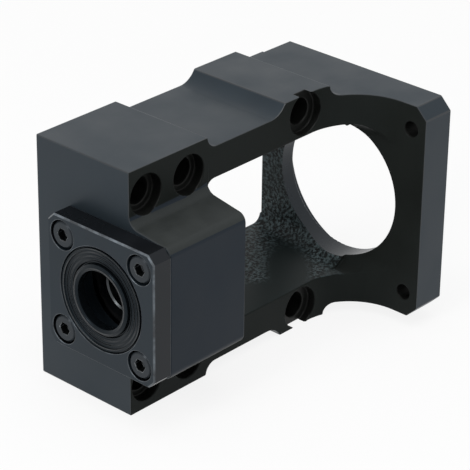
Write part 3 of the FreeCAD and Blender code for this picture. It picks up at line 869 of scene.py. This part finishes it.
@dataclass
class BearingPair:
    """The two angular contact bearings."""

    # Painted shade: the ring steel is drawn far darker than bare steel, for rings deep in the bore.
    ring: TurnedMetal = TurnedMetal("bearing_steel_in_painted_shade", "#4d5052", "#383b3c", 0.3, 0.35, 0.004)
    ball: TurnedMetal = TurnedMetal("polished_ball_steel", "#d4d6d8", "#b9bdc0", 0.08, 0.6, 0.001, 0.1)
    cage: Moulded = Moulded("moulded_black_polyamide", "#0c0c0d", "#151517", 0.45, ring_strength=0.1)

    def dress(self) -> None:
        """Dress the rings, cages and balls of both bearings."""
        ring, ball, cage = self.ring.material(), self.ball.material(), self.cage.material()
        parts = {"outer_ring": ring, "inner_ring": ring, "cage": cage, "balls": ball}
        for end in ("front", "rear"):
            for part, material in parts.items():
                dress_node(f"{end}_{part}", material)


@dataclass(frozen=True)
class Lamp:
    """A square soft light. Places and sizes in metres, power in watts."""

    name: str
    place: tuple[float, float, float]
    side: float
    power: float

    def build(self, aim: Vector) -> None:
        """Hang the light so that it faces a point.

        Args:
            aim: The point.
        """
        light = bpy.data.lights.new(self.name, "AREA")
        light.size = self.side
        light.energy = self.power
        holder = bpy.data.objects.new(self.name, light)
        holder.location = self.place
        holder.rotation_euler = (aim - holder.location).to_track_quat("-Z", "Y").to_euler()
        bpy.context.scene.collection.objects.link(holder)


@dataclass
class Studio:
    """Pale floor, soft lights, white surroundings and the camera. Places in metres, turns in degrees."""

    floor_side: float = 6.0
    floor_colour: str = "#fafafa"
    floor_roughness: float = 0.9
    floor_lift: float = 0.86
    ambient: float = 0.5
    aim: tuple[float, float, float] = (-0.0503, 0.0003, -0.0003)
    camera_place: tuple[float, float, float] = (-0.44264, -0.35448, 0.27212)
    camera_turn: tuple[float, float, float] = (62.7466, -0.6978, -47.5177)
    lens_mm: float = 179.168
    sensor_mm: float = 36.0
    nearest: float = 0.01
    lamps: tuple[Lamp, ...] = (
        Lamp("top_softbox", (-0.25, -0.15, 0.9), 0.8, 4.0),
        Lamp("left_softbox", (-0.75, 0.0, 0.5), 0.2, 1.5),
    )

    def background_share(self, tree: bpy.types.NodeTree) -> bpy.types.NodeSocket:
        """Find the rays that see the white background: from the camera, mirrored or through glass.

        Args:
            tree: The node tree of the floor's material or the world.

        Returns:
            A socket that is one for such rays and zero for the others.
        """
        path = add_node(tree, "ShaderNodeLightPath", {})
        share = path.outputs["Is Camera Ray"]
        for kind in ("Is Glossy Ray", "Is Transmission Ray"):
            share = add_node(
                tree, "ShaderNodeMath", {0: share, 1: path.outputs[kind]}, operation="MAXIMUM").outputs[0]
        return share

    def build_floor(self) -> None:
        """Lay the floor under the side pads."""
        form = bmesh.new()
        bmesh.ops.create_grid(form, x_segments=1, y_segments=1, size=self.floor_side / 2)
        bmesh.ops.translate(form, verts=form.verts, vec=(self.aim[0], self.aim[1], CAD_BOX[0][2]))
        mesh = bpy.data.meshes.new("studio_floor")
        form.to_mesh(mesh)
        form.free()
        floor = bpy.data.objects.new("studio_floor", mesh)
        bpy.context.scene.collection.objects.link(floor)
        material, shader, _ = start_material("matt_pale_floor")
        tree = material.node_tree
        set_inputs(shader, {"Base Color": linear(self.floor_colour), "Roughness": self.floor_roughness})
        lift = add_node(tree, "ShaderNodeMath", {
            0: self.background_share(tree), 1: self.floor_lift}, operation="MULTIPLY")
        glow = add_node(tree, "ShaderNodeEmission", {"Strength": 1.0})
        mixed = add_node(tree, "ShaderNodeMixShader", {
            0: lift.outputs[0], 1: shader.outputs["BSDF"], 2: glow.outputs["Emission"]})
        set_inputs(tree.nodes["Material Output"], {"Surface": mixed.outputs["Shader"]})
        mesh.materials.append(material)

    def build_world(self) -> None:
        """Surround the scene with white that lights the object at a plain level."""
        world = bpy.data.worlds.new("white_surroundings")
        world.use_nodes = True
        tree = world.node_tree
        light = tree.nodes["Background"]
        set_inputs(light, {"Color": WHITE, "Strength": self.ambient})
        white = add_node(tree, "ShaderNodeBackground", {"Color": WHITE, "Strength": 1.0})
        mixed = add_node(tree, "ShaderNodeMixShader", {
            0: self.background_share(tree), 1: light.outputs["Background"], 2: white.outputs["Background"]})
        set_inputs(tree.nodes["World Output"], {"Surface": mixed.outputs["Shader"]})
        bpy.context.scene.world = world

    def build_camera(self) -> None:
        """Set up the camera at the photograph's viewing angle."""
        camera = bpy.data.cameras.new("camera")
        camera.lens = self.lens_mm
        camera.sensor_width = self.sensor_mm
        camera.clip_start = self.nearest
        holder = bpy.data.objects.new("camera", camera)
        holder.location = self.camera_place
        holder.rotation_euler = [math.radians(angle) for angle in self.camera_turn]
        bpy.context.scene.collection.objects.link(holder)
        bpy.context.scene.camera = holder

    def build(self) -> None:
        """Build the whole studio."""
        self.build_floor()
        self.build_world()
        self.build_camera()
        for lamp in self.lamps:
            lamp.build(Vector(self.aim))
        bpy.context.scene.view_settings.view_transform = "Standard"


def main() -> None:
    """Build and dress the mount, then the studio round it."""
    logging.basicConfig(level=logging.INFO, format="%(message)s")
    Casting().build()
    CoverSet().build()
    BearingPair().dress()
    Studio().build()


if __name__ == "__main__":
    main()
